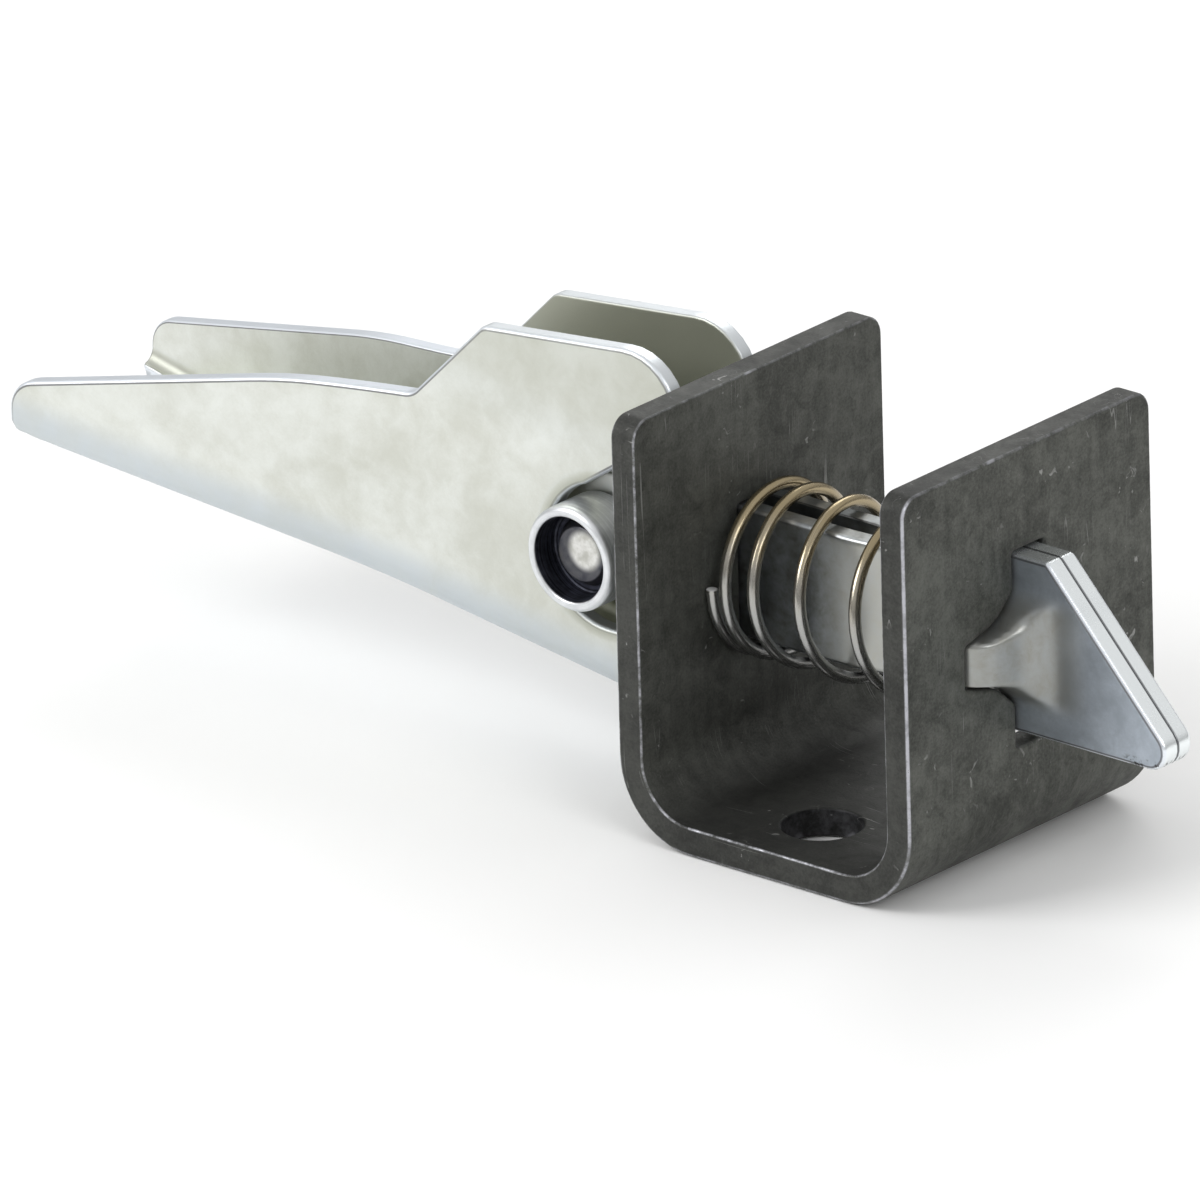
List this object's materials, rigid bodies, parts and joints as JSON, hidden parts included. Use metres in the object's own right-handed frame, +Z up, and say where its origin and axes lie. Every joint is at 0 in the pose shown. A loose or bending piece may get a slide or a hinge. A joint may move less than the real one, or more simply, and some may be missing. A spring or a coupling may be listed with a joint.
{
  "type": "spring tipper latch",
  "caption": "Spring-loaded latch bolt with a bevelled nose in a bent channel bracket, drawn back by a folded sheet lever handle.",
  "frame": {"origin": "midway between the two mounting holes, on the underside of the bracket", "axes": "+X along the bolt, out of the nose; +Y to the far side; +Z up, away from the mounting face"},
  "size_m": [0.2247, 0.06, 0.0721],
  "materials": {
    "mill_scale_steel": "hot-rolled mill scale, dark and half matt, with bright worn edges",
    "zinc_plated_bolt": "bright zinc plate with a blue tint",
    "spring_wire": "drawn spring wire, slightly golden",
    "zinc_plated_sheet": "cloudy zinc plate with a faint yellow-green cast",
    "zinc_plated_pivot": "turned and zinc plated"
  },
  "bodies": {
    "bracket": {"bracket": "mill_scale_steel", "return_spring": "spring_wire"},
    "bolt": {"latch_plate_near": "zinc_plated_bolt", "latch_plate_far": "zinc_plated_bolt", "pivot_rivet": "zinc_plated_pivot"},
    "handle": {"lift_handle": "zinc_plated_sheet", "pivot_bush_near": "zinc_plated_pivot", "pivot_bush_far": "zinc_plated_pivot"}
  },
  "joints": [
    {"name": "bolt_slide", "type": "slide", "parent": "bracket", "child": "bolt", "axis": [-1, 0, 0], "range_m": [0, 0.019], "stiffness_N_per_m": 900, "springref_m": -0.01, "deforming": ["return_spring"]},
    {"name": "handle_pivot", "type": "hinge", "parent": "bolt", "child": "handle", "pos_m": [-0.05245, 0, 0.036], "axis": [0, 1, 0], "range_deg": [0, 60]}
  ],
  "couplings": [
    {"joint": "bolt_slide", "follows": "handle_pivot", "m_per_rad": 0.018}
  ]
}
